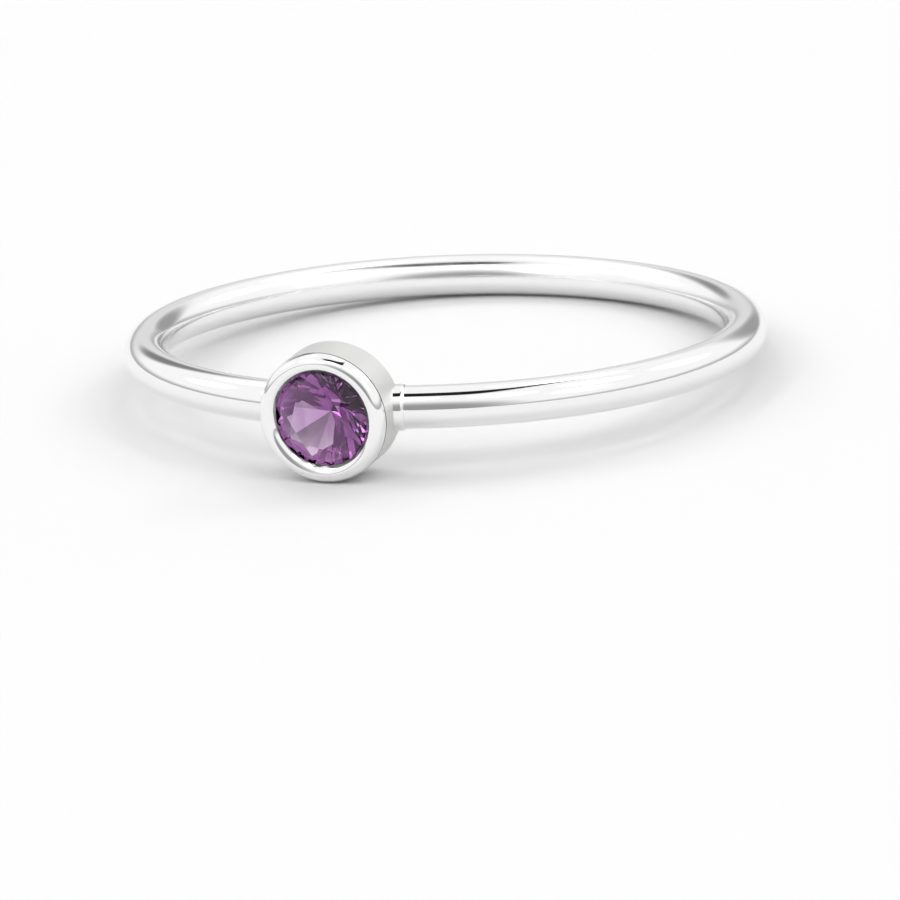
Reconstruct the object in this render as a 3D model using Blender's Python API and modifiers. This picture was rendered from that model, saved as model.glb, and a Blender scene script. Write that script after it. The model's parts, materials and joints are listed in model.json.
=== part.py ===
"""A stackable ring: a band of round silver wire with one round brilliant stone in a rubbed-over bezel.

The ring is drawn lying flat, with the finger's axis along Z and the bezel on the -Y side, where it looks out
and slightly down. The ring is then laid on a table as it would rest by itself, on the bezel's wall and on the
band opposite it.
"""

import math

import bmesh
import bpy
from mathutils import Matrix, Vector

MM = 0.001

# The band
FINGER_DIAMETER = 17.3 * MM
WIRE_DIAMETER = 1.30 * MM
COLLAR_LENGTH = 0.12 * MM
COLLAR_SWELL = 0.05 * MM

# The stone, cut to the proportions of a round brilliant
STONE_DIAMETER = 3.00 * MM
GIRDLE_THICKNESS = 0.07 * MM
TABLE_SHARE = 0.57
STAR_SHARE = 0.50
LOWER_HALF_SHARE = 0.77
CROWN_ANGLE = math.radians(34.5)
PAVILION_ANGLE = math.radians(43.0)
STONE_TURN = math.radians(7.5)
CULET_TO_FINGER = 0.40 * MM

# The bezel, a cup that follows the stone
SEAT_CLEARANCE = 0.03 * MM
SEAT_WIDTH = 0.38 * MM
BEZEL_WALL = 0.47 * MM
LIP_OVERLAP = 0.06 * MM
LIP_LAND = 0.04 * MM
LIP_SLOPE = math.radians(47.0)
RIM_RISE = 0.30 * MM
RIM_DEPTH = 0.38 * MM
RIM_SHOULDER = 0.28 * MM
RIM_INNER_ROUNDING = 0.29 * MM
RIM_INNER_TURN = math.radians(50.0)
TAPER_DEPTH = 0.55 * MM
BACK_TAPER = math.radians(33.0)
BACK_RELIEF = 0.05 * MM
BEZEL_PITCH = math.radians(4.0)

# How finely the round forms are divided
BAND_STEP = math.radians(5.0)
WIRE_BEVEL = 6
BEZEL_SIDES = 48
ROUNDING_STEPS = 6
FINGER_SIDES = 96
GIRDLE_SIDES = 64
COLLAR_STEPS = 3

FACETS_ROUND = 8
EIGHTH = math.tau / FACETS_ROUND
WELD = 1e-7

# Everything below follows from the sizes above
FINGER_RADIUS = FINGER_DIAMETER / 2
WIRE_RADIUS = WIRE_DIAMETER / 2
BAND_RADIUS = FINGER_RADIUS + WIRE_RADIUS

STONE_RADIUS = STONE_DIAMETER / 2
TABLE_RADIUS = STONE_RADIUS * TABLE_SHARE
CROWN_HEIGHT = (STONE_RADIUS - TABLE_RADIUS) * math.tan(CROWN_ANGLE)
PAVILION_DEPTH = STONE_RADIUS * math.tan(PAVILION_ANGLE)

# Distances from the middle of the ring, out along the bezel's own axis
CULET = FINGER_RADIUS + CULET_TO_FINGER
GIRDLE_BOTTOM = CULET + PAVILION_DEPTH
GIRDLE_TOP = GIRDLE_BOTTOM + GIRDLE_THICKNESS
TABLE = GIRDLE_TOP + CROWN_HEIGHT
LIP_UNDERSIDE = GIRDLE_TOP + LIP_OVERLAP + SEAT_CLEARANCE
LIP_TOP = LIP_UNDERSIDE + LIP_LAND
RIM_CREST = GIRDLE_TOP + RIM_RISE
WALL_TOP = RIM_CREST - RIM_DEPTH
TAPER_START = FINGER_RADIUS + TAPER_DEPTH

# Distances from the bezel's axis
POCKET_RADIUS = STONE_RADIUS + SEAT_CLEARANCE
BEZEL_RADIUS = POCKET_RADIUS + BEZEL_WALL
BORE_RADIUS = POCKET_RADIUS - SEAT_WIDTH
BACK_RADIUS = BEZEL_RADIUS - TAPER_DEPTH * math.tan(BACK_TAPER)
LIP_RADIUS = STONE_RADIUS - LIP_OVERLAP


def clear_scene():
    """Starts from an empty scene."""
    for obj in list(bpy.data.objects):
        bpy.data.objects.remove(obj, do_unlink=True)


def new_collection(name):
    collection = bpy.data.collections.new(name)
    bpy.context.scene.collection.children.link(collection)
    return collection


def new_object(name, data, collection, parent):
    obj = bpy.data.objects.new(name, data)
    obj.parent = parent
    collection.objects.link(obj)
    return obj


def new_material(name, colour, roughness, metallic, see_through=0.0, ior=1.5):
    material = bpy.data.materials.new(name)
    material.use_nodes = True
    shader = material.node_tree.nodes["Principled BSDF"]
    shader.inputs["Base Color"].default_value = (*colour, 1.0)
    shader.inputs["Roughness"].default_value = roughness
    shader.inputs["Metallic"].default_value = metallic
    shader.inputs["Transmission Weight"].default_value = see_through
    shader.inputs["IOR"].default_value = ior
    return material


def mark_as_cutter(obj):
    """A body that only shapes another one: it is shown as wires and never rendered."""
    obj.hide_render = True
    obj.display_type = "WIRE"


def add_boolean(obj, other, operation):
    modifier = obj.modifiers.new(f"{operation.lower()} {other.name}", "BOOLEAN")
    modifier.operation = operation
    modifier.object = other
    modifier.solver = "EXACT"


def face_forward(obj):
    """Turns a body that is drawn round Z so that its axis points along -Y, as the bezel's does."""
    obj.rotation_euler = (math.radians(90.0), 0.0, 0.0)


def arc(centre, width, height, start, end, steps):
    """Points of an elliptic arc in a profile, each one a radius and a distance along the axis."""
    return [
        (centre[0] + width * math.cos(turn), centre[1] + height * math.sin(turn))
        for turn in (start + (end - start) * step / steps for step in range(steps + 1))
    ]


def turned_body(name, profile, collection, parent):
    """A solid of revolution, whose profile runs from the top of the axis down the outer side."""
    mesh = bpy.data.meshes.new(name)
    points = [(radius, 0.0, height) for radius, height in profile]
    mesh.from_pydata(points, [(i, i + 1) for i in range(len(points) - 1)], [])
    body = new_object(name, mesh, collection, parent)
    screw = body.modifiers.new("turn", "SCREW")
    screw.axis = "Z"
    screw.angle = math.tau
    screw.steps = BEZEL_SIDES
    screw.render_steps = BEZEL_SIDES
    screw.use_merge_vertices = True
    screw.merge_threshold = WELD
    screw.use_smooth_shade = True
    face_forward(body)
    return body


def bezel_profile():
    """The bezel's outside: a rounded rim, a straight wall and a back that narrows towards the finger."""
    crest = BEZEL_RADIUS - RIM_SHOULDER
    level = math.radians(90.0)
    inner = arc(
        (crest, RIM_CREST - RIM_INNER_ROUNDING),
        RIM_INNER_ROUNDING,
        RIM_INNER_ROUNDING,
        level + RIM_INNER_TURN,
        level,
        ROUNDING_STEPS,
    )
    outer = arc((crest, WALL_TOP), RIM_SHOULDER, RIM_DEPTH, level, 0.0, ROUNDING_STEPS)
    rim = inner + outer[1:]
    # The back is drawn into the finger's space, which then cuts it to its curve.
    end = FINGER_RADIUS - BEZEL_RADIUS**2 / FINGER_RADIUS
    end_radius = BEZEL_RADIUS - (TAPER_START - end) * math.tan(BACK_TAPER)
    return [(0.0, rim[0][1]), *rim, (BEZEL_RADIUS, TAPER_START), (end_radius, end), (0.0, end)]


def pocket_profile():
    """The space inside the bezel: the sloping lip, the groove for the girdle, the seat and the open back."""
    top = RIM_CREST + RIM_RISE
    top_radius = LIP_RADIUS + (top - LIP_TOP) / math.tan(LIP_SLOPE)
    # The seat runs parallel to the pavilion, at the clearance below it.
    seat_drop = SEAT_CLEARANCE / math.cos(PAVILION_ANGLE)
    seat_top = GIRDLE_BOTTOM + SEAT_CLEARANCE * math.tan(PAVILION_ANGLE) - seat_drop
    seat_bottom = seat_top - SEAT_WIDTH * math.tan(PAVILION_ANGLE)
    end = FINGER_RADIUS - WIRE_DIAMETER
    return [
        (0.0, top),
        (top_radius, top),
        (LIP_RADIUS, LIP_TOP),
        (LIP_RADIUS, LIP_UNDERSIDE),
        (POCKET_RADIUS, LIP_UNDERSIDE),
        (POCKET_RADIUS, seat_top),
        (BORE_RADIUS, seat_bottom),
        (BORE_RADIUS, end),
        (0.0, end),
    ]


def collar_swell(distance):
    """How much the solder adds to the wire's radius at this distance from the bezel's wall."""
    share = min(max(distance / COLLAR_LENGTH, 0.0), 1.0)
    return COLLAR_SWELL * math.sqrt(1.0 - share**2)


def wire_points():
    """The angle of each point of the wire, from the bezel all the way round, and its collar's swell there."""
    wall = math.asin(BEZEL_RADIUS / BAND_RADIUS)
    # The wire ends inside the bezel's wall, midway between the bore and the narrow back.
    end = math.asin((BORE_RADIUS + BACK_RADIUS) / 2 / BAND_RADIUS)
    begin = wall + COLLAR_LENGTH / BAND_RADIUS
    quarter = math.radians(90.0)
    half = [end]
    # Collar, then on to the ring's widest point, then round to its far side
    for start, stop, steps in (
        (wall, begin, COLLAR_STEPS),
        (begin, quarter, round((quarter - begin) / BAND_STEP)),
        (quarter, 2 * quarter, round(quarter / BAND_STEP)),
    ):
        half += [start + (stop - start) * step / steps for step in range(steps)]
    turns = half + [2 * quarter] + [math.tau - turn for turn in reversed(half)]
    for turn in turns:
        from_wall = (min(turn, math.tau - turn) - wall) * BAND_RADIUS
        yield turn, collar_swell(max(from_wall, 0.0))


def band_wire(collection, parent):
    """The round wire, bent into a circle and open at the bezel, as one closed mesh."""
    points = list(wire_points())
    curve = bpy.data.curves.new("band_wire_line", "CURVE")
    curve.dimensions = "3D"
    curve.twist_mode = "Z_UP"
    curve.bevel_depth = WIRE_RADIUS
    curve.bevel_resolution = WIRE_BEVEL
    curve.use_fill_caps = True
    spline = curve.splines.new("POLY")
    spline.points.add(len(points) - 1)
    for point, (turn, swell) in zip(spline.points, points):
        # A turn is counted from the bezel, which faces -Y, towards +X. The collar swells outwards only,
        # so that the inside stays smooth for the finger.
        middle = BAND_RADIUS + swell
        point.co = (middle * math.sin(turn), -middle * math.cos(turn), 0.0, 1.0)
        point.radius = (WIRE_RADIUS + swell) / WIRE_RADIUS
    line = new_object("band_wire_line", curve, collection, parent)

    evaluated = line.evaluated_get(bpy.context.evaluated_depsgraph_get())
    mesh = bpy.data.meshes.new_from_object(evaluated)
    mesh.name = "band_wire"
    weld_and_face_out(mesh)
    wire = new_object("band_wire", mesh, collection, parent)
    bpy.data.objects.remove(line, do_unlink=True)
    return wire


def weld_and_face_out(mesh):
    """Joins the caps to the tube, and turns every face outwards."""
    shape = bmesh.new()
    shape.from_mesh(mesh)
    bmesh.ops.remove_doubles(shape, verts=shape.verts, dist=WELD)
    bmesh.ops.recalc_face_normals(shape, faces=shape.faces)
    shape.to_mesh(mesh)
    shape.free()


def finger(collection, parent):
    """The round space for the finger. It curves the back of the bezel, just clear of the wire."""
    bpy.ops.mesh.primitive_cylinder_add(
        vertices=FINGER_SIDES,
        radius=FINGER_RADIUS + BACK_RELIEF,
        depth=4 * BEZEL_RADIUS,
    )
    body = bpy.context.object
    body.name = "finger_space"
    for other in list(body.users_collection):
        other.objects.unlink(body)
    collection.objects.link(body)
    body.parent = parent
    return body


def band_and_bezel(parts, cutters, ring, setting, material):
    """The wire and the bezel, which solder makes into one body, with the stone's pocket cut out."""
    body = turned_body("band_and_bezel", bezel_profile(), parts, setting)
    shaping = [
        (finger(cutters, ring), "DIFFERENCE"),
        (band_wire(cutters, ring), "UNION"),
        (turned_body("stone_pocket", pocket_profile(), cutters, setting), "DIFFERENCE"),
    ]
    for other, operation in shaping:
        mark_as_cutter(other)
        add_boolean(body, other, operation)
    body.data.materials.append(material)
    for other, _ in shaping:
        other.data.materials.append(material)
        other.data.shade_smooth()
    return body


def point_at(radius, turn, height):
    return Vector((radius * math.cos(turn), radius * math.sin(turn), height))


def plane_through(first, second, third):
    """The plane through three points, with its normal away from the middle of the stone."""
    middle = Vector((0.0, 0.0, (GIRDLE_BOTTOM + GIRDLE_TOP) / 2))
    normal = (second - first).cross(third - first).normalized()
    if normal.dot(first - middle) < 0:
        normal.negate()
    return first, normal


def sloping_plane(girdle_point, turn, slope):
    """The plane of a main facet: it meets the girdle at this point, and leans in by this slope from level."""
    normal = Vector((math.sin(slope) * math.cos(turn), math.sin(slope) * math.sin(turn), math.cos(slope)))
    return girdle_point, normal


def facet_planes():
    """The planes of the facets, in the order in which they are cut: table, mains, stars, then halves."""
    star_inner = TABLE_RADIUS * math.cos(EIGHTH / 2)
    star_tip = star_inner + STAR_SHARE * (STONE_RADIUS - star_inner)
    star_height = GIRDLE_TOP + (STONE_RADIUS - star_tip * math.cos(EIGHTH / 2)) * math.tan(CROWN_ANGLE)
    half_tip = STONE_RADIUS * (1 - LOWER_HALF_SHARE)
    half_height = CULET + half_tip * math.cos(EIGHTH / 2) * math.tan(PAVILION_ANGLE)

    planes = [(Vector((0.0, 0.0, TABLE)), Vector((0.0, 0.0, 1.0)))]
    turns = [EIGHTH * index for index in range(FACETS_ROUND)]
    for turn in turns:
        above = point_at(STONE_RADIUS, turn, GIRDLE_TOP)
        below = point_at(STONE_RADIUS, turn, GIRDLE_BOTTOM)
        planes.append(sloping_plane(above, turn, CROWN_ANGLE))
        planes.append(sloping_plane(below, turn, math.pi - PAVILION_ANGLE))
    for turn in turns:
        between = turn + EIGHTH / 2
        planes.append(
            plane_through(
                point_at(star_tip, between, star_height),
                point_at(TABLE_RADIUS, turn, TABLE),
                point_at(TABLE_RADIUS, turn + EIGHTH, TABLE),
            )
        )
    for turn in turns:
        for side in (-1, 1):
            between = turn + side * EIGHTH / 2
            planes.append(
                plane_through(
                    point_at(star_tip, between, star_height),
                    point_at(STONE_RADIUS, turn, GIRDLE_TOP),
                    point_at(STONE_RADIUS, between, GIRDLE_TOP),
                )
            )
            planes.append(
                plane_through(
                    point_at(half_tip, between, half_height),
                    point_at(STONE_RADIUS, turn, GIRDLE_BOTTOM),
                    point_at(STONE_RADIUS, between, GIRDLE_BOTTOM),
                )
            )
    return planes


def cut_facet(shape, point, normal):
    """Grinds away what lies beyond the plane, and closes the stone with the new facet."""
    result = bmesh.ops.bisect_plane(
        shape,
        geom=[*shape.verts, *shape.edges, *shape.faces],
        dist=WELD,
        plane_co=point,
        plane_no=normal,
        clear_outer=True,
    )
    rim = [piece for piece in result["geom_cut"] if isinstance(piece, bmesh.types.BMEdge)]
    rim = [edge for edge in rim if edge.is_boundary]
    if rim:
        bmesh.ops.edgeloop_fill(shape, edges=rim)


def stone(parts, parent, material):
    """A round brilliant, ground facet by facet from a round blank."""
    shape = bmesh.new()
    blank = Matrix.Translation((0.0, 0.0, (CULET + TABLE) / 2))
    bmesh.ops.create_cone(
        shape,
        cap_ends=True,
        segments=GIRDLE_SIDES,
        radius1=STONE_RADIUS,
        radius2=STONE_RADIUS,
        depth=2 * (TABLE - CULET),
        matrix=blank,
    )
    for point, normal in facet_planes():
        cut_facet(shape, point, normal)
    bmesh.ops.remove_doubles(shape, verts=shape.verts, dist=WELD)
    bmesh.ops.rotate(
        shape,
        verts=shape.verts,
        cent=(0.0, 0.0, 0.0),
        matrix=Matrix.Rotation(STONE_TURN, 3, "Z"),
    )
    bmesh.ops.recalc_face_normals(shape, faces=shape.faces)
    mesh = bpy.data.meshes.new("stone")
    shape.to_mesh(mesh)
    shape.free()
    mesh.materials.append(material)
    body = new_object("stone", mesh, parts, parent)
    face_forward(body)
    return body


def lean_setting(setting):
    """Pitches what is set in the bezel down about the wire's centre line, where the bezel is soldered on."""
    pivot = Vector((0.0, -BAND_RADIUS, 0.0))
    setting.rotation_euler = (BEZEL_PITCH, 0.0, 0.0)
    setting.location = pivot - Matrix.Rotation(BEZEL_PITCH, 3, "X") @ pivot


def rest_tilt():
    """The ring's lean on the table, on one end of the bezel's wall and on the far side of the band."""
    tilts = []
    for end in (TAPER_START, WALL_TOP):
        from_pivot = end - BAND_RADIUS
        drop = from_pivot * math.sin(BEZEL_PITCH) + BEZEL_RADIUS * math.cos(BEZEL_PITCH)
        out = from_pivot * math.cos(BEZEL_PITCH) - BEZEL_RADIUS * math.sin(BEZEL_PITCH)
        span = 2 * BAND_RADIUS + out
        tilts.append(math.atan2(drop, span) - math.asin(WIRE_RADIUS / math.hypot(span, drop)))
    return max(tilts)


def lay_on_table(resting, pieces):
    """Leans the ring to its resting angle, sets it down on z = 0 and centres it over the origin."""
    resting.rotation_euler = (-rest_tilt(), 0.0, 0.0)
    bpy.context.view_layer.update()
    graph = bpy.context.evaluated_depsgraph_get()
    corners = []
    for piece in pieces:
        evaluated = piece.evaluated_get(graph)
        mesh = evaluated.to_mesh()
        corners += [evaluated.matrix_world @ vertex.co for vertex in mesh.vertices]
        evaluated.to_mesh_clear()
    low = [min(corner[i] for corner in corners) for i in range(3)]
    high = [max(corner[i] for corner in corners) for i in range(3)]
    resting.location = (-(low[0] + high[0]) / 2, -(low[1] + high[1]) / 2, -low[2])
    bpy.context.view_layer.update()


def main():
    clear_scene()
    parts = new_collection("stackable_ring")
    cutters = new_collection("cutters")
    resting = new_object("ring_at_rest", None, parts, None)
    setting = new_object("setting", None, parts, resting)
    lean_setting(setting)
    silver = new_material("polished_silver", (0.90, 0.90, 0.91), 0.08, 1.0)
    amethyst = new_material("cut_amethyst", (0.33, 0.10, 0.45), 0.02, 0.0, see_through=0.9, ior=1.544)
    pieces = [
        band_and_bezel(parts, cutters, resting, setting, silver),
        stone(parts, setting, amethyst),
    ]
    lay_on_table(resting, pieces)


main()
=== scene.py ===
"""Dresses the stackable ring: polished silver wire and bezel, a round amethyst, and a pale studio."""

import json
import math

import bpy
from mathutils import Matrix, Vector


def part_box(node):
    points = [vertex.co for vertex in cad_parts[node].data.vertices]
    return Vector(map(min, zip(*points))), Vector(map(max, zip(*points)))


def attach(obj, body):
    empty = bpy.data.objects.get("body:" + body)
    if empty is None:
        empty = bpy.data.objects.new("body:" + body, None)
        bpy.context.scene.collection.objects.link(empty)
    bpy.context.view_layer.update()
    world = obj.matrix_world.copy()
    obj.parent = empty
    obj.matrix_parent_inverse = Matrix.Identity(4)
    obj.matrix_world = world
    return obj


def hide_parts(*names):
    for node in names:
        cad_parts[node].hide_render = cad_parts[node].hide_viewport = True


bl_info = {
    "name": "Stackable Ring",
    "version": (1, 0, 0),
    "blender": (4, 5, 0),
    "location": "View3D > Sidebar > Ring",
    "description": "Models a stackable silver ring with a round amethyst in a bezel, and its studio",
    "category": "Add Mesh",
}

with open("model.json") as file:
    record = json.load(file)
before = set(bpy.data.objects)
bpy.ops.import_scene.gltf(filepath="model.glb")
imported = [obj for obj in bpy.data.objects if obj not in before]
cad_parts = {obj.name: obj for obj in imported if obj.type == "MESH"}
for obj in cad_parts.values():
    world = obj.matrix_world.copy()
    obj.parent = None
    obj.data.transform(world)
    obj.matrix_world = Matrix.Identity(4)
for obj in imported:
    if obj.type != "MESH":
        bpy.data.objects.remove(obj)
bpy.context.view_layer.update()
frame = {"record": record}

MM = 0.001
# Points this close are merged, and points this close to a plane count as on it.
WELD = 0.0005 * MM
ON_PLANE = 0.0005 * MM
# The stone's smallest facets need a finer margin.
ON_FACET = 1e-8

# The stone's table tells where the bezel is and which way it looks, and the metal's box tells how wide
# the band is.
TABLE_FACE = next(mount for mount in frame["record"]["mounts"] if mount["name"] == "stone_table")
TABLE_CENTRE = Vector(TABLE_FACE["pos_m"])
BEZEL_AXIS = Vector(TABLE_FACE["axis"]).normalized()
BAND_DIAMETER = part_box("band_and_bezel")[1].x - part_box("band_and_bezel")[0].x


def linear(hex_colour):
    """An sRGB hex colour as the linear red, green, blue and alpha that a shader takes."""
    values = [int(hex_colour[i : i + 2], 16) / 255 for i in (1, 3, 5)]
    return (*[v / 12.92 if v <= 0.04045 else ((v + 0.055) / 1.055) ** 2.4 for v in values], 1.0)


def length(name, description, default):
    """A length that a user may change."""
    return bpy.props.FloatProperty(
        name=name, description=description, default=default, min=0.0, precision=5, unit="LENGTH"
    )


def turn(name, description, degrees):
    """An angle that a user may change, given in degrees."""
    return bpy.props.FloatProperty(
        name=name, description=description, default=math.radians(degrees), precision=3, subtype="ANGLE"
    )


def share(name, description, default):
    """A share of another size that a user may change."""
    return bpy.props.FloatProperty(
        name=name, description=description, default=default, min=0.0, max=1.0, subtype="FACTOR"
    )


def colour(name, description, hex_colour):
    """A colour that a user may change, given as sRGB hex."""
    return bpy.props.FloatVectorProperty(
        name=name,
        description=description,
        default=linear(hex_colour),
        size=4,
        min=0.0,
        max=1.0,
        subtype="COLOR",
    )


class RingSizes(bpy.types.PropertyGroup):
    """Real sizes of the band, the bezel and the stone."""

    wire_diameter: length("Wire", "Thickness of the round wire", 1.30 * MM)
    collar_length: length("Collar length", "How far the solder runs out along the wire", 0.12 * MM)
    collar_swell: length("Collar swell", "What the solder adds to the wire's radius at the wall", 0.05 * MM)
    stone_diameter: length("Stone", "Width of the stone across its girdle", 3.00 * MM)
    girdle_thickness: length("Girdle", "Thickness of the stone's edge", 0.07 * MM)
    table_share: share("Table", "Width of the table as a share of the stone", 0.57)
    star_share: share("Stars", "How far the star facets reach to the girdle", 0.50)
    lower_half_share: share("Lower halves", "How far the lower halves reach to the culet", 0.77)
    crown_angle: turn("Crown", "Slope of the crown's kite facets", 34.5)
    pavilion_angle: turn("Pavilion", "Slope of the pavilion's main facets", 43.0)
    stone_turn: turn("Stone turn", "How far the stone is turned in its seat", 7.5)
    culet_to_finger: length("Culet clearance", "From the stone's point to the finger's circle", 0.40 * MM)
    seat_clearance: length("Seat clearance", "Space between the stone and the metal", 0.03 * MM)
    seat_width: length("Seat width", "Width of the ledge under the stone", 0.38 * MM)
    bezel_wall: length("Bezel wall", "Thickness of the wall round the stone", 0.47 * MM)
    lip_overlap: length("Lip", "How far the rim laps over the stone", 0.06 * MM)
    lip_land: length("Lip edge", "Height of the lip's upright edge", 0.04 * MM)
    rim_rise: length("Rim rise", "From the girdle to the rim's crest", 0.30 * MM)
    rim_depth: length("Rim depth", "How far the rounded rim reaches down the outside", 0.38 * MM)
    rim_shoulder: length("Rim shoulder", "Width of the rim's outer rounding", 0.28 * MM)
    rim_inner_rounding: length("Inner rounding", "Radius of the rim's inner rounding", 0.29 * MM)
    rim_inner_turn: turn("Inner turn", "How far the inner rounding turns down to the bright cut", 42.0)
    rim_groove: length("Groove", "Depth of the fine line between the rim and the wall", 0.03 * MM)
    taper_depth: length("Taper depth", "From the finger's circle to the straight wall", 0.55 * MM)
    back_taper: turn("Back taper", "How much the back narrows", 33.0)
    back_relief: length("Back relief", "How far the bezel's back stays clear of the finger", 0.05 * MM)
    bezel_pitch: turn("Bezel pitch", "How far the bezel looks down from the band's plane", 4.0)


class RingColours(bpy.types.PropertyGroup):
    """Colours of the metal, the stone and the studio."""

    silver: colour("Silver", "Polished silver", "#F4F4F4")
    satin: colour("Satin silver", "The side of the bezel", "#D9D9D8")
    # Dull silver and its tarnish are painted shade: dark inside the setting and in the rim's groove. The
    # tarnish patches vary at random.
    dull_painted_shade: colour("Dull silver", "Inside the setting", "#423E3A")
    tarnish_painted_shade: colour("Tarnish", "Patches in the dull silver", "#1E1B19")
    amethyst: colour("Amethyst", "What the stone lets through", "#BC04C0")
    zone: colour("Colour zone", "Where the crystal grew a little darker", "#D9CCE0")
    paper: colour("Paper", "The floor that the ring lies on", "#DADADA")


class RingView(bpy.types.PropertyGroup):
    """The photograph's viewpoint, seen from the middle of the ring and in the ring's own plane."""

    azimuth: turn("Azimuth", "Turn of the camera from the bezel's direction", 20.86)
    elevation: turn("Elevation", "Height of the camera above the ring's plane", 12.55)
    aim_down: turn("Aim", "How far below the ring's middle the camera aims", 0.843)
    roll: turn("Roll", "Roll of the camera", 2.42)
    distance: length("Distance", "From the ring's middle to the camera", 235.7 * MM)
    focal_share: bpy.props.FloatProperty(
        name="Focal length", description="Focal length in widths of the picture", default=8.457, min=0.1
    )


class Plan:
    """What follows from the ring's sizes, in metres."""

    def __init__(self, sizes):
        self.wire = sizes.wire_diameter / 2
        self.band = BAND_DIAMETER / 2 - self.wire
        self.finger = self.band - self.wire
        self.stone = sizes.stone_diameter / 2
        self.table_radius = self.stone * sizes.table_share
        self.culet = self.finger + sizes.culet_to_finger
        self.girdle_bottom = self.culet + self.stone * math.tan(sizes.pavilion_angle)
        self.girdle_top = self.girdle_bottom + sizes.girdle_thickness
        self.table = self.girdle_top + (self.stone - self.table_radius) * math.tan(sizes.crown_angle)
        self.lip_underside = self.girdle_top + sizes.lip_overlap + sizes.seat_clearance
        self.lip_top = self.lip_underside + sizes.lip_land
        self.crest = self.girdle_top + sizes.rim_rise
        self.wall_top = self.crest - sizes.rim_depth
        self.taper_start = self.finger + sizes.taper_depth
        self.pocket = self.stone + sizes.seat_clearance
        self.bezel = self.pocket + sizes.bezel_wall
        self.bore = self.pocket - sizes.seat_width
        self.back = self.bezel - sizes.taper_depth * math.tan(sizes.back_taper)
        self.lip = self.stone - sizes.lip_overlap
        self.crest_radius = self.bezel - sizes.rim_shoulder
        # In the flat ring the bezel is pitched about the wire's centre line, where it is soldered on.
        self.pivot = Vector((0.0, -self.band, 0.0))
        self.lean = math.atan2(BEZEL_AXIS.z, -BEZEL_AXIS.y) + sizes.bezel_pitch
        pitch = Matrix.Rotation(sizes.bezel_pitch, 3, "X")
        table = self.pivot + pitch @ Vector((0.0, self.band - self.table, 0.0))
        self.middle = TABLE_CENTRE - Matrix.Rotation(-self.lean, 3, "X") @ table


def select_alone(obj):
    bpy.ops.object.select_all(action="DESELECT")
    obj.select_set(True)
    bpy.context.view_layer.objects.active = obj


def start_edit(obj, mode="VERT"):
    """Selects one object alone and opens it in edit mode with everything in it selected."""
    select_alone(obj)
    bpy.ops.object.mode_set(mode="EDIT")
    bpy.ops.mesh.select_mode(type=mode)
    bpy.ops.mesh.select_all(action="SELECT")


def end_edit():
    bpy.ops.object.mode_set(mode="OBJECT")


def select_vertices(obj, test):
    """In edit mode, selects just the vertices whose place passes the test."""
    bpy.ops.mesh.select_all(action="DESELECT")
    bpy.ops.object.mode_set(mode="OBJECT")
    for vertex in obj.data.vertices:
        vertex.select = test(vertex.co)
    bpy.ops.object.mode_set(mode="EDIT")


def close_up():
    """In edit mode, merges what coincides and turns all the faces outwards."""
    bpy.ops.mesh.select_all(action="SELECT")
    bpy.ops.mesh.remove_doubles(threshold=WELD)
    bpy.ops.mesh.normals_make_consistent(inside=False)


def cut_or_join(obj, other, operation):
    """Cuts another body out of this one, or joins it on, and removes it."""
    select_alone(obj)
    modifier = obj.modifiers.new("boolean", "BOOLEAN")
    modifier.operation = operation
    modifier.object = other
    modifier.solver = "EXACT"
    bpy.ops.object.modifier_apply(modifier=modifier.name)
    bpy.data.objects.remove(other, do_unlink=True)


def apply_place(obj):
    """Writes the object's place, turn and scale into its mesh."""
    select_alone(obj)
    bpy.ops.object.transform_apply(location=True, rotation=True, scale=True)


def set_in_place(obj, sizes, plan):
    """Turns a piece drawn round Z to the bezel's direction, and pitches it about the wire's centre line."""
    obj.rotation_euler = (math.radians(90.0), 0.0, 0.0)
    apply_place(obj)
    obj.rotation_euler = (sizes.bezel_pitch, 0.0, 0.0)
    obj.location = plan.pivot - Matrix.Rotation(sizes.bezel_pitch, 3, "X") @ plan.pivot
    apply_place(obj)


def lay_down(obj, plan):
    """Brings a piece from the flat ring to the ring at rest on the floor."""
    obj.rotation_euler = (-plan.lean, 0.0, 0.0)
    obj.location = plan.middle
    apply_place(obj)


def arc(centre, width, height, start, end, steps):
    """Points of an elliptic arc in a profile, each a distance from the axis and a height along it."""
    turns = [start + (end - start) * step / steps for step in range(steps + 1)]
    return [(centre[0] + width * math.cos(t), centre[1] + height * math.sin(t)) for t in turns]


def turned_piece(name, profile, sides):
    """Draws a closed profile point by point, beside the Z axis, and spins it round."""
    points = [Vector((radius, 0.0, height)) for radius, height in [*profile, profile[0]]]
    # A plane of any size, merged to its middle, gives the first point.
    bpy.ops.object.select_all(action="DESELECT")
    bpy.ops.mesh.primitive_plane_add(size=0.1 * MM, location=points[0])
    piece = bpy.context.object
    piece.name = name
    apply_place(piece)
    start_edit(piece)
    bpy.ops.mesh.merge(type="CENTER")
    for here, there in zip(points, points[1:]):
        bpy.ops.mesh.extrude_vertices_move(TRANSFORM_OT_translate={"value": there - here})
    bpy.ops.mesh.select_all(action="SELECT")
    bpy.ops.mesh.remove_doubles(threshold=WELD)
    bpy.ops.mesh.spin(steps=sides, angle=math.tau, center=(0.0, 0.0, 0.0), axis=(0.0, 0.0, 1.0))
    close_up()
    end_edit()
    return piece


# How finely the round forms are divided
BEZEL_SIDES = 180
WIRE_SIDES = 64
WIRE_STEPS = 360
COLLAR_STEPS = 8
GIRDLE_SIDES = 128
FINGER_SIDES = 720
RIM_STEPS = 18
# The rim's outer rounding stops at this angle from the wall, which leaves room for the groove.
RIM_OUTER_END = math.radians(5.0)
# Flatter edges than this are shaded smooth.
CREASE = math.radians(30.0)


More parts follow.
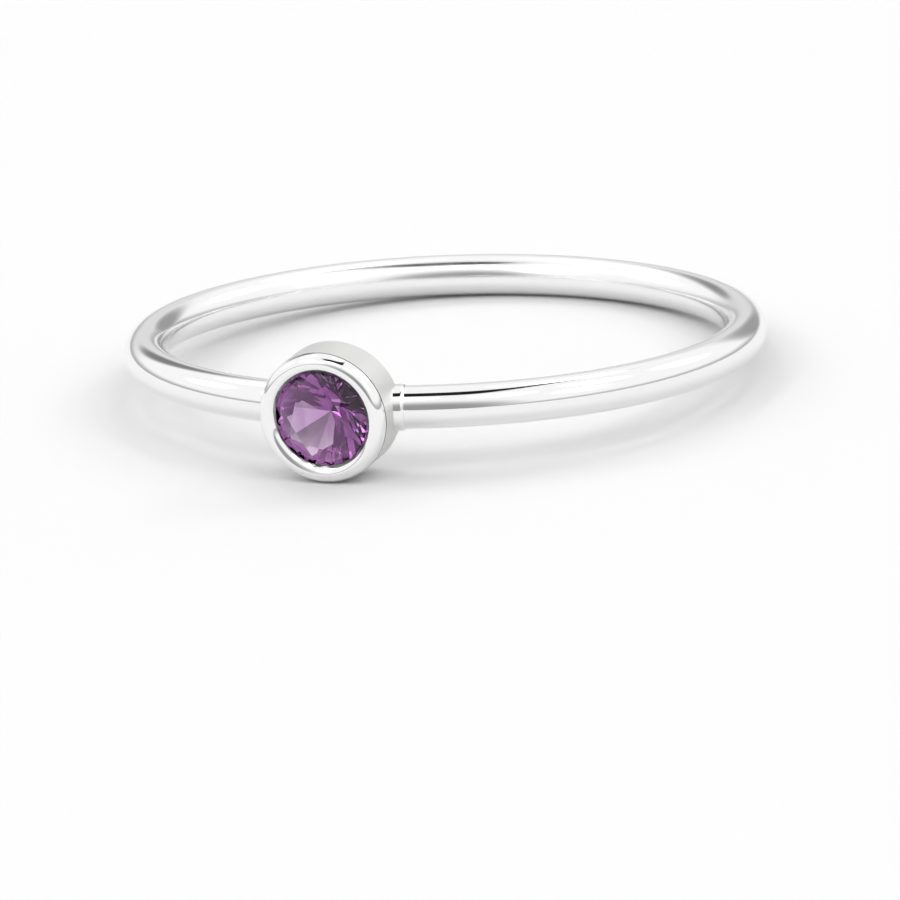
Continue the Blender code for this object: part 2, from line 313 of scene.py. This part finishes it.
def bezel_profile(sizes, plan):
    """The bezel's wall all round: rim, groove, side, narrow back, bore, seat, girdle pocket and lip."""
    level = math.radians(90.0)
    rounding = sizes.rim_inner_rounding
    inner_centre = (plan.crest_radius, plan.crest - rounding)
    inner = arc(inner_centre, rounding, rounding, level + sizes.rim_inner_turn, level, RIM_STEPS)
    outer_centre = (plan.crest_radius, plan.wall_top)
    outer = arc(outer_centre, sizes.rim_shoulder, sizes.rim_depth, level, RIM_OUTER_END, RIM_STEPS)
    groove = (plan.bezel - sizes.rim_groove, plan.wall_top + sizes.rim_groove / 2)
    end = plan.finger - plan.bezel**2 / plan.finger
    end_radius = plan.bezel - (plan.taper_start - end) * math.tan(sizes.back_taper)
    slope = math.tan(sizes.pavilion_angle)
    seat_top = plan.girdle_bottom + sizes.seat_clearance * (slope - 1 / math.cos(sizes.pavilion_angle))
    seat_bottom = seat_top - sizes.seat_width * slope
    return [
        *inner,
        *outer[1:],
        groove,
        (plan.bezel, plan.wall_top - sizes.rim_groove / 3),
        (plan.bezel, plan.taper_start),
        (end_radius, end),
        (plan.bore, end),
        (plan.bore, seat_bottom),
        (plan.pocket, seat_top),
        (plan.pocket, plan.lip_underside),
        (plan.lip, plan.lip_underside),
        (plan.lip, plan.lip_top),
    ]


def on_band(radius, angle):
    """A point at this angle round the ring, counted from the bezel towards +X."""
    return Vector((radius * math.sin(angle), -radius * math.cos(angle), 0.0))


def wire_piece(sizes, plan):
    """A circle of wire, spun from one side of the bezel to the other, whose ends swell into the solder."""
    wall = math.asin(plan.bezel / plan.band)
    begin = wall + sizes.collar_length / plan.band
    end = math.asin((plan.bore + plan.back) / 2 / plan.band)
    bpy.ops.object.select_all(action="DESELECT")
    bpy.ops.mesh.primitive_circle_add(
        vertices=WIRE_SIDES,
        radius=plan.wire,
        fill_type="NOTHING",
        location=on_band(plan.band, begin),
        rotation=(math.pi / 2, 0.0, math.pi / 2 + begin),
    )
    wire = bpy.context.object
    wire.name = "wire"
    apply_place(wire)
    start_edit(wire)
    bpy.ops.mesh.spin(
        steps=WIRE_STEPS, angle=math.tau - 2 * begin, center=(0.0, 0.0, 0.0), axis=(0.0, 0.0, -1.0)
    )
    # The solder bulges out like a quarter of an ellipse, and keeps its height into the wall.
    rings = []
    for step in range(1, COLLAR_STEPS + 1):
        climb = math.radians(90.0) * step / COLLAR_STEPS
        rings.append((wall + (begin - wall) * math.cos(climb), sizes.collar_swell * math.sin(climb)))
    for step in range(1, COLLAR_STEPS + 1):
        rings.append((wall + (end - wall) * step / COLLAR_STEPS, sizes.collar_swell))
    for side in (1, -1):
        last, last_radius = begin, plan.wire
        for angle, swell in rings:
            here = on_band(1.0, side * last)
            select_vertices(wire, lambda place: abs(place.cross(here).z) < ON_PLANE and place.dot(here) > 0)
            radius = plan.wire + swell
            grow = radius / last_radius
            bpy.ops.mesh.extrude_region_move(TRANSFORM_OT_translate={"value": (0.0, 0.0, 0.0)})
            bpy.ops.transform.rotate(
                value=side * (last - angle), orient_axis="Z", center_override=(0.0, 0.0, 0.0)
            )
            bpy.ops.transform.resize(
                value=(grow, grow, grow), center_override=on_band(plan.finger, side * angle)
            )
            last, last_radius = angle, radius
        bpy.ops.mesh.edge_face_add()
    close_up()
    end_edit()
    return wire


def finger_space(sizes, plan):
    """What the finger takes up, with a little clearance at the bezel's back."""
    bpy.ops.object.select_all(action="DESELECT")
    bpy.ops.mesh.primitive_cylinder_add(
        vertices=FINGER_SIDES, radius=plan.finger + sizes.back_relief, depth=4 * plan.bezel
    )
    return bpy.context.object


def plane_through(first, second, third, middle):
    """A plane through three points, as a point on it and the normal that looks away from the middle."""
    normal = (second - first).cross(third - first).normalized()
    if normal.dot(first - middle) < 0:
        normal.negate()
    return first, normal


EIGHTH = math.tau / 8


def at_turn(radius, angle, height):
    """A point, or a direction, at this angle round the Z axis."""
    return Vector((radius * math.cos(angle), radius * math.sin(angle), height))


def facet_planes(sizes, plan):
    """The planes that the stone is ground to: table, mains above and below, stars, then the halves."""
    middle = Vector((0.0, 0.0, (plan.girdle_bottom + plan.girdle_top) / 2))
    # How far the middle of an octagon's side is from the centre, as a share of its corner's distance
    side_share = math.cos(EIGHTH / 2)
    star_inner = plan.table_radius * side_share
    star_tip = star_inner + sizes.star_share * (plan.stone - star_inner)
    star_height = plan.girdle_top + (plan.stone - star_tip * side_share) * math.tan(sizes.crown_angle)
    half_tip = plan.stone * (1 - sizes.lower_half_share)
    half_height = plan.culet + half_tip * side_share * math.tan(sizes.pavilion_angle)

    planes = [(Vector((0.0, 0.0, plan.table)), Vector((0.0, 0.0, 1.0)))]
    mains, stars, halves = [], [], []
    for index in range(8):
        angle = index * EIGHTH
        for height, slope in (
            (plan.girdle_top, sizes.crown_angle),
            (plan.girdle_bottom, math.pi - sizes.pavilion_angle),
        ):
            normal = at_turn(math.sin(slope), angle, math.cos(slope))
            mains.append((at_turn(plan.stone, angle, height), normal))
        tip = at_turn(star_tip, angle + EIGHTH / 2, star_height)
        corners = [at_turn(plan.table_radius, angle + side * EIGHTH, plan.table) for side in (0, 1)]
        stars.append(plane_through(tip, *corners, middle))
        for side in (-1, 1):
            between = angle + side * EIGHTH / 2
            for inner, height, level in (
                (star_tip, star_height, plan.girdle_top),
                (half_tip, half_height, plan.girdle_bottom),
            ):
                halves.append(
                    plane_through(
                        at_turn(inner, between, height),
                        at_turn(plan.stone, angle, level),
                        at_turn(plan.stone, between, level),
                        middle,
                    )
                )
    return planes + mains + stars + halves


def cut_stone(sizes, plan):
    """Grinds a round blank to a brilliant, one facet after another."""
    bpy.ops.object.select_all(action="DESELECT")
    bpy.ops.mesh.primitive_cylinder_add(
        vertices=GIRDLE_SIDES,
        radius=plan.stone,
        depth=2 * (plan.table - plan.culet),
        location=(0.0, 0.0, (plan.culet + plan.table) / 2),
    )
    stone = bpy.context.object
    stone.name = "amethyst_brilliant"
    apply_place(stone)
    start_edit(stone)
    for point, normal in facet_planes(sizes, plan):
        bpy.ops.mesh.select_all(action="SELECT")
        bpy.ops.mesh.bisect(
            plane_co=point, plane_no=normal, use_fill=True, clear_outer=True, threshold=ON_FACET
        )
    close_up()
    end_edit()
    stone.rotation_euler = (0.0, 0.0, sizes.stone_turn)
    apply_place(stone)
    return stone


def add_node(tree, kind, inputs=(), **settings):
    """Adds a node. An input is a socket's name or number with its value or the socket that feeds it."""
    node = tree.nodes.new(kind)
    for name, value in settings.items():
        setattr(node, name, value)
    for name, value in dict(inputs).items():
        if isinstance(value, bpy.types.NodeSocket):
            tree.links.new(value, node.inputs[name])
        else:
            node.inputs[name].default_value = value
    return node


# Widths and depths of what the finishes show
HAZE_PATCH = 1.8 * MM
POLISH_WAVE = 1.4 * MM
POLISH_WAVE_DEPTH = 0.004 * MM
# Real hairlines are a few thousandths of a millimetre apart. These are ten times as wide, so they show.
HAIRLINE = 0.03 * MM
HAIRLINE_DEPTH = 0.001 * MM
TORCH_PATCH = 0.4 * MM
GROWTH_ZONE = 1.1 * MM
LAP_MARK = 0.25 * MM
PAPER_TOOTH = 0.5 * MM
PAPER_TOOTH_DEPTH = 0.01 * MM
# How dense the stone's colour is, per metre of the light's way through it
STONE_DENSITY = 0.56 / MM


def new_material(name):
    """A material with its tree and its shader."""
    material = bpy.data.materials.new(name)
    material.use_nodes = True
    return material, material.node_tree, material.node_tree.nodes["Principled BSDF"]


def polished_silver(colours):
    """Sterling silver polished on a wheel: a mirror, slightly hazy in patches and a little wavy by hand."""
    material, tree, shader = new_material("polished_silver")
    place = add_node(tree, "ShaderNodeTexCoord").outputs["Object"]
    patches = add_node(tree, "ShaderNodeTexNoise", {"Vector": place, "Scale": 1 / HAZE_PATCH, "Detail": 4.0})
    axes = add_node(tree, "ShaderNodeSeparateXYZ", {"Vector": place})
    # The wheel dwells longest on the front, so the haze grows towards the back of the band.
    far = add_node(
        tree,
        "ShaderNodeMapRange",
        {
            "Value": axes.outputs["Y"],
            "From Min": -8.0 * MM,
            "From Max": 9.0 * MM,
            "To Min": 0.0,
            "To Max": 0.14,
        },
    )
    near = add_node(
        tree,
        "ShaderNodeMapRange",
        {
            "Value": patches.outputs["Fac"],
            "From Min": 0.35,
            "From Max": 0.7,
            "To Min": 0.04,
            "To Max": 0.09,
        },
    )
    haze = add_node(tree, "ShaderNodeMath", {0: far.outputs["Result"], 1: near.outputs["Result"]})
    waves = add_node(tree, "ShaderNodeTexNoise", {"Vector": place, "Scale": 1 / POLISH_WAVE, "Detail": 1.0})
    bump = add_node(
        tree,
        "ShaderNodeBump",
        {"Height": waves.outputs["Fac"], "Strength": 0.3, "Distance": POLISH_WAVE_DEPTH},
    )
    shader.inputs["Base Color"].default_value = colours.silver
    shader.inputs["Metallic"].default_value = 1.0
    tree.links.new(haze.outputs["Value"], shader.inputs["Roughness"])
    tree.links.new(bump.outputs["Normal"], shader.inputs["Normal"])
    return material


def satin_silver(colours):
    """Silver as the lathe and a fine brush leave it: soft light, and faint hairlines round the bezel."""
    material, tree, shader = new_material("satin_silver")
    place = add_node(tree, "ShaderNodeTexCoord").outputs["Object"]
    upright = add_node(
        tree,
        "ShaderNodeVectorRotate",
        {"Vector": place, "Rotation": BEZEL_AXIS.to_track_quat("Z", "Y").inverted().to_euler()},
        rotation_type="EULER_XYZ",
    )
    drawn = add_node(
        tree, "ShaderNodeMapping", {"Vector": upright.outputs["Vector"], "Scale": (0.08, 0.08, 1.0)}
    )
    hairlines = add_node(
        tree,
        "ShaderNodeTexNoise",
        {"Vector": drawn.outputs["Vector"], "Scale": 1 / HAIRLINE, "Detail": 4.0},
    )
    haze = add_node(
        tree,
        "ShaderNodeMapRange",
        {
            "Value": hairlines.outputs["Fac"],
            "From Min": 0.3,
            "From Max": 0.7,
            "To Min": 0.42,
            "To Max": 0.54,
        },
    )
    bump = add_node(
        tree,
        "ShaderNodeBump",
        {"Height": hairlines.outputs["Fac"], "Strength": 0.2, "Distance": HAIRLINE_DEPTH},
    )
    shader.inputs["Base Color"].default_value = colours.satin
    shader.inputs["Metallic"].default_value = 1.0
    tree.links.new(haze.outputs["Result"], shader.inputs["Roughness"])
    tree.links.new(bump.outputs["Normal"], shader.inputs["Normal"])
    return material


def dull_silver_painted_shade(colours):
    """Painted shade as dull silver: grey from the torch, darker in patches, so the setting looks deep."""
    material, tree, shader = new_material("dull_silver_painted_shade")
    place = add_node(tree, "ShaderNodeTexCoord").outputs["Object"]
    patches = add_node(
        tree, "ShaderNodeTexNoise", {"Vector": place, "Scale": 1 / TORCH_PATCH, "Detail": 5.0}
    )
    mixed = add_node(
        tree,
        "ShaderNodeMix",
        {"Factor": patches.outputs["Fac"], "A": colours.dull_painted_shade, "B": colours.tarnish_painted_shade},
        data_type="RGBA",
    )
    shader.inputs["Metallic"].default_value = 1.0
    shader.inputs["Roughness"].default_value = 0.45
    tree.links.new(mixed.outputs["Result"], shader.inputs["Base Color"])
    return material


def cut_amethyst(colours):
    """Amethyst, a purple quartz: clear and bright, with a colour that deepens as light crosses more of it,
    soft zones of deeper colour from the crystal's growth, and a lap polish a trace less sharp in places."""
    material, tree, shader = new_material("cut_amethyst")
    place = add_node(tree, "ShaderNodeTexCoord").outputs["Object"]
    growth = add_node(tree, "ShaderNodeTexNoise", {"Vector": place, "Scale": 1 / GROWTH_ZONE, "Detail": 1.0})
    zones = add_node(
        tree,
        "ShaderNodeMapRange",
        {"Value": growth.outputs["Fac"], "From Min": 0.45, "From Max": 0.62, "To Min": 0.0, "To Max": 1.0},
        interpolation_type="SMOOTHSTEP",
    )
    mixed = add_node(
        tree,
        "ShaderNodeMix",
        {"Factor": zones.outputs["Result"], "A": (1.0, 1.0, 1.0, 1.0), "B": colours.zone},
        data_type="RGBA",
    )
    lap = add_node(tree, "ShaderNodeTexNoise", {"Vector": place, "Scale": 1 / LAP_MARK, "Detail": 3.0})
    polish = add_node(
        tree,
        "ShaderNodeMapRange",
        {"Value": lap.outputs["Fac"], "From Min": 0.45, "From Max": 0.75, "To Min": 0.0, "To Max": 0.02},
    )
    shader.inputs["Transmission Weight"].default_value = 1.0
    shader.inputs["IOR"].default_value = 1.544
    tree.links.new(mixed.outputs["Result"], shader.inputs["Base Color"])
    tree.links.new(polish.outputs["Result"], shader.inputs["Roughness"])
    body = add_node(
        tree, "ShaderNodeVolumeAbsorption", {"Color": colours.amethyst, "Density": STONE_DENSITY}
    )
    tree.links.new(body.outputs["Volume"], tree.nodes["Material Output"].inputs["Volume"])
    return material


def studio_paper(colours):
    """Matt white paper, laid flat, with a faint tooth."""
    material, tree, shader = new_material("studio_paper")
    place = add_node(tree, "ShaderNodeTexCoord").outputs["Object"]
    tooth = add_node(tree, "ShaderNodeTexNoise", {"Vector": place, "Scale": 1 / PAPER_TOOTH, "Detail": 3.0})
    bump = add_node(
        tree,
        "ShaderNodeBump",
        {"Height": tooth.outputs["Fac"], "Strength": 0.1, "Distance": PAPER_TOOTH_DEPTH},
    )
    shader.inputs["Base Color"].default_value = colours.paper
    shader.inputs["Roughness"].default_value = 0.9
    shader.inputs["Specular IOR Level"].default_value = 0.1
    tree.links.new(bump.outputs["Normal"], shader.inputs["Normal"])
    return material


# The metal's material slots. The last is dull silver that paints shade inside the setting and in the groove.
POLISHED, SATIN, DULL_PAINTED_SHADE = range(3)


def paint(obj, finish, test):
    """Gives a finish to the faces whose distance from Z and height, at their middle, pass the test."""
    start_edit(obj, "FACE")
    bpy.ops.mesh.select_all(action="DESELECT")
    bpy.ops.object.mode_set(mode="OBJECT")
    for face in obj.data.polygons:
        face.select = test(face.center.xy.length, face.center.z)
    bpy.ops.object.mode_set(mode="EDIT")
    obj.active_material_index = finish
    bpy.ops.object.material_slot_assign()
    end_edit()


class RING_OT_metal(bpy.types.Operator):
    """Models the wire band and the bezel and solders them together"""

    bl_idname = "ring.metal"
    bl_label = "Band and bezel"

    def execute(self, context):
        sizes = context.scene.ring_sizes
        colours = context.scene.ring_colours
        plan = Plan(sizes)
        finishes = {
            POLISHED: polished_silver(colours),
            SATIN: satin_silver(colours),
            DULL_PAINTED_SHADE: dull_silver_painted_shade(colours),
        }
        metal = turned_piece("silver_band_and_bezel", bezel_profile(sizes, plan), BEZEL_SIDES)
        for finish in finishes.values():
            metal.data.materials.append(finish)
        # What isn't painted stays polished.
        groove_foot = plan.wall_top - sizes.rim_groove / 2
        groove_head = plan.wall_top + sizes.rim_groove
        crest = plan.crest_radius
        paint(metal, SATIN, lambda out, height: out > crest and height < groove_foot)
        # Painted shade: dark dull silver inside the setting under the lip, and in the groove between the rim
        # and the wall, for its dark line.
        paint(metal, DULL_PAINTED_SHADE, lambda out, height: out < plan.pocket and height < plan.lip_underside)
        paint(metal, DULL_PAINTED_SHADE, lambda out, height: out > crest and groove_foot < height < groove_head)
        set_in_place(metal, sizes, plan)
        wire = wire_piece(sizes, plan)
        finger = finger_space(sizes, plan)
        for other in (wire, finger):
            for finish in finishes.values():
                other.data.materials.append(finish)
        cut_or_join(metal, finger, "DIFFERENCE")
        cut_or_join(metal, wire, "UNION")
        bpy.ops.object.shade_smooth_by_angle(angle=CREASE)
        lay_down(metal, plan)
        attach(metal, "root")
        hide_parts("band_and_bezel")
        return {"FINISHED"}


class RING_OT_stone(bpy.types.Operator):
    """Cuts the stone and sets it in the bezel"""

    bl_idname = "ring.stone"
    bl_label = "Stone"

    def execute(self, context):
        sizes = context.scene.ring_sizes
        plan = Plan(sizes)
        stone = cut_stone(sizes, plan)
        set_in_place(stone, sizes, plan)
        lay_down(stone, plan)
        stone.data.materials.clear()
        stone.data.materials.append(cut_amethyst(context.scene.ring_colours))
        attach(stone, "root")
        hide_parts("stone")
        return {"FINISHED"}


# The white tent round the ring, seen from the ring, with the camera at azimuth 0 and + to its right.
# Each darker part has its azimuth, height, half width and soft edge in degrees, and its light as a share
# of the tent's.
TENT_LIGHT = 1.02
TENT_PARTS = {
    "open front": (-8.0, 5.0, 12.0, 30.0, 0.33),
    "gap behind on the left": (-164.0, 22.0, 3.0, 11.0, 0.22),
    "gap behind on the right": (156.0, 10.0, 6.0, 13.0, 0.34),
    "far side": (180.0, 0.0, 16.0, 22.0, 0.75),
}
# Round lamps behind the cloth, as azimuth and height in degrees, make the stone sparkle. Each is
# LAMP_LIGHT times as bright as the tent.
LAMPS = (
    (-150.0, 50.0),
    (-112.0, 34.0),
    (-78.0, 52.0),
    (-48.0, 36.0),
    (-22.0, 60.0),
    (30.0, 56.0),
    (55.0, 34.0),
    (84.0, 54.0),
    (118.0, 36.0),
    (150.0, 58.0),
)
LAMP_HALF_WIDTH = 4.0
LAMP_EDGE = 6.0
LAMP_LIGHT = 5.0
# A black rail hangs across the top, level on the left, and bends away and thins out on the right. Its
# middle line is where the direction's Y is RAIL_PLACE + RAIL_BEND * X cubed. Its edge is soft between two
# shares of its half width.
RAIL_PLACE = -0.11
RAIL_BEND = 12.3
RAIL_LIGHT = 0.015
RAIL_EDGE = (0.75, 1.05)
# What fades along an axis of the direction: the axis, where the fade begins and ends, and its two values
FADES = {
    # Where paper and tent meet, a grey seam runs all round.
    "seam light": ("Z", 0.02, 0.20, 0.45, 1.0),
    "rail half width": ("X", 0.12, 0.52, 0.19, 0.02),
    "left of the rail": ("X", -0.30, -0.20, 1.0, 0.0),
    "under the rail": ("Z", 0.70, 0.80, 1.0, 0.0),
}
# How wide the paper is, in metres
FLOOR_WIDTH = 4.0


def towards(azimuth, height):
    """The direction at this azimuth and height, in radians, where azimuth 0 looks along -Y."""
    level = math.cos(height)
    return Vector((math.sin(azimuth) * level, -math.cos(azimuth) * level, math.sin(height)))


def studio_tent(azimuth):
    """The light on the ring, worked out from nothing but the direction that it comes from."""
    world = bpy.data.worlds.new("studio")
    bpy.context.scene.world = world
    world.use_nodes = True
    tree = world.node_tree
    place = add_node(tree, "ShaderNodeTexCoord").outputs["Generated"]
    turned = add_node(
        tree,
        "ShaderNodeVectorRotate",
        {"Vector": place, "Axis": (0.0, 0.0, 1.0), "Angle": -azimuth},
        rotation_type="AXIS_ANGLE",
    ).outputs["Vector"]
    axes = add_node(tree, "ShaderNodeSeparateXYZ", {"Vector": turned}).outputs

    # Every soft change, as what it follows, where it begins and ends, and the values at both ends
    ranges = []
    lamps = [(*lamp, LAMP_HALF_WIDTH, LAMP_EDGE, LAMP_LIGHT) for lamp in LAMPS]
    for part_azimuth, height, half, edge, times in (*TENT_PARTS.values(), *lamps):
        toward = towards(math.radians(part_azimuth), math.radians(height))
        near = add_node(tree, "ShaderNodeVectorMath", {0: turned, 1: toward}, operation="DOT_PRODUCT")
        outer, inner = (math.cos(math.radians(reach)) for reach in (half + edge, half))
        ranges.append((near.outputs["Value"], outer, inner, 1.0, times))
    ranges += [(axes[axis], *fade) for axis, *fade in FADES.values()]
    faded = []
    for given in ranges:
        inputs = dict(zip(("Value", "From Min", "From Max", "To Min", "To Max"), given))
        fade = add_node(tree, "ShaderNodeMapRange", inputs, interpolation_type="SMOOTHSTEP")
        faded.append(fade.outputs["Result"])
    *factors, seam, rail_half_width, left_of_rail, under_rail = faded

    # The rail, as a chain of sums in which each one starts from the last one's result
    beside = axes["X"]
    for operation, value in (
        ("MAXIMUM", 0.0),
        ("POWER", 3.0),
        ("MULTIPLY", RAIL_BEND),
        ("ADD", RAIL_PLACE),
        ("SUBTRACT", axes["Y"]),
        ("ABSOLUTE", None),
        ("DIVIDE", rail_half_width),
    ):
        inputs = {0: beside} if value is None else {0: beside, 1: value}
        beside = add_node(tree, "ShaderNodeMath", inputs, operation=operation).outputs["Value"]
    rail = add_node(
        tree,
        "ShaderNodeMapRange",
        {
            "Value": beside,
            "From Min": RAIL_EDGE[0],
            "From Max": RAIL_EDGE[1],
            "To Min": RAIL_LIGHT,
            "To Max": 1.0,
        },
        interpolation_type="SMOOTHSTEP",
    ).outputs["Result"]
    for other in (left_of_rail, under_rail):
        rail = add_node(tree, "ShaderNodeMath", {0: rail, 1: other}, operation="MAXIMUM").outputs["Value"]

    # Where two darker parts overlap, the darker one counts. A lamp brightens whatever it stands behind.
    shades, glows = factors[: len(TENT_PARTS)], factors[len(TENT_PARTS) :]
    light = rail
    for shade in (*shades, seam):
        light = add_node(tree, "ShaderNodeMath", {0: light, 1: shade}, operation="MINIMUM").outputs["Value"]
    for glow in (*glows, TENT_LIGHT):
        light = add_node(tree, "ShaderNodeMath", {0: light, 1: glow}, operation="MULTIPLY").outputs["Value"]
    tree.links.new(light, tree.nodes["Background"].inputs["Color"])
    tree.nodes["Background"].inputs["Strength"].default_value = 1.0


def add_camera(view, plan):
    """A camera at the photograph's place, worked out in the ring's own plane and leant with the ring."""
    lean = Matrix.Rotation(-plan.lean, 3, "X")
    back = towards(view.azimuth, view.elevation)
    right = Vector((math.cos(view.azimuth), math.sin(view.azimuth), 0.0))
    up = back.cross(right)
    basis = Matrix((right, up, back)).transposed()
    aim = Matrix.Rotation(-view.aim_down, 3, "X") @ Matrix.Rotation(-view.roll, 3, "Z")
    data = bpy.data.cameras.new("photo_camera")
    data.sensor_width = 36.0
    data.lens = data.sensor_width * view.focal_share
    data.clip_start = 1 * MM
    data.clip_end = 10.0
    camera = bpy.data.objects.new("photo_camera", data)
    bpy.context.scene.collection.objects.link(camera)
    camera.matrix_world = Matrix.Translation(plan.middle + lean @ back * view.distance) @ (
        lean @ basis @ aim
    ).to_4x4()
    bpy.context.scene.camera = camera


class RING_OT_stage(bpy.types.Operator):
    """Adds the floor, the studio light and the camera"""

    bl_idname = "ring.stage"
    bl_label = "Studio"

    def execute(self, context):
        view = context.scene.ring_view
        bpy.ops.object.select_all(action="DESELECT")
        bpy.ops.mesh.primitive_plane_add(size=FLOOR_WIDTH)
        floor = bpy.context.object
        floor.name = "studio_floor"
        floor.data.materials.append(studio_paper(context.scene.ring_colours))
        studio_tent(view.azimuth)
        add_camera(view, Plan(context.scene.ring_sizes))
        context.scene.view_settings.view_transform = "Standard"
        return {"FINISHED"}


class RING_PT_panel(bpy.types.Panel):
    """The ring's operators and sizes"""

    bl_idname = "RING_PT_panel"
    bl_label = "Stackable Ring"
    bl_space_type = "VIEW_3D"
    bl_region_type = "UI"
    bl_category = "Ring"

    def draw(self, context):
        for operator in OPERATORS:
            self.layout.operator(operator.bl_idname)
        for group in (context.scene.ring_sizes, context.scene.ring_colours, context.scene.ring_view):
            column = self.layout.column(align=True)
            for name in group.__annotations__:
                column.prop(group, name)


GROUPS = {"ring_sizes": RingSizes, "ring_colours": RingColours, "ring_view": RingView}
OPERATORS = (RING_OT_metal, RING_OT_stone, RING_OT_stage)


def register():
    for part in (*GROUPS.values(), *OPERATORS, RING_PT_panel):
        bpy.utils.register_class(part)
    for name, group in GROUPS.items():
        setattr(bpy.types.Scene, name, bpy.props.PointerProperty(type=group))


def unregister():
    for name in GROUPS:
        delattr(bpy.types.Scene, name)
    for part in (RING_PT_panel, *OPERATORS, *GROUPS.values()):
        bpy.utils.unregister_class(part)


def main():
    register()
    bpy.ops.ring.metal()
    bpy.ops.ring.stone()
    bpy.ops.ring.stage()


if __name__ == "__main__":
    main()
